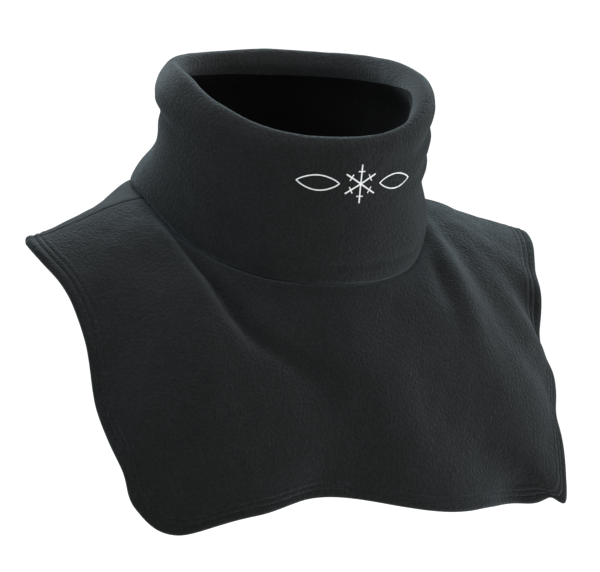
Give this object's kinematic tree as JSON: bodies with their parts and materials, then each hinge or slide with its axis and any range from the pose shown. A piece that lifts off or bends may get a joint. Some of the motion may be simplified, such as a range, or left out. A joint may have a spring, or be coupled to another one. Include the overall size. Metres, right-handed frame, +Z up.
{
  "type": "turtleneck dickey",
  "caption": "Fleece turtleneck dickey: a tall fold-over collar on a front bib and a shorter back bib, in the form that it keeps when worn.",
  "frame": {"origin": "middle of the neck opening, 35 mm above the front of the neck seam, where the wearer's neck goes through", "axes": "+X to the wearer's left, along the shoulders; -Y to the wearer's front; +Z up, along the neck"},
  "size_m": [0.3549, 0.2473, 0.2842],
  "materials": {
    "collar": "matt polar fleece, black, with a short soft nap",
    "front_bib": "matt polar fleece, black, with a short soft nap",
    "back_bib": "matt polar fleece, black, with a short soft nap"
  },
  "bodies": {
    "root": {"collar": "collar", "front_bib": "front_bib", "back_bib": "back_bib"}
  },
  "joints": []
}
